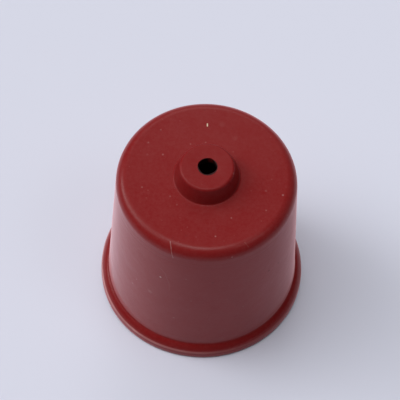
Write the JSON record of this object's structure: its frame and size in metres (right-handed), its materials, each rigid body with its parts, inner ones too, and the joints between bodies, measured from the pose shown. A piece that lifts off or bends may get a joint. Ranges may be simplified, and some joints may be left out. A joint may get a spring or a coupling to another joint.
{
  "type": "rubber cap stopper",
  "caption": "Red rubber cap stopper for the neck of a demijohn: a tapered cup, open at a flared rim that it stands on, with a hollow nipple on its closed end whose lip is bored for an airlock stem.",
  "frame": {"origin": "centre of the circle that the rim's foot stands on, at the open end", "axes": "+Z along the stopper's axis, from the open foot up through the nipple; X and Y lie in the foot's plane and are interchangeable, because the part is turned about Z"},
  "size_m": [0.064, 0.064, 0.0632],
  "materials": {
    "red_rubber": "satin"
  },
  "bodies": {
    "root": {"stopper": "red_rubber"}
  },
  "joints": []
}
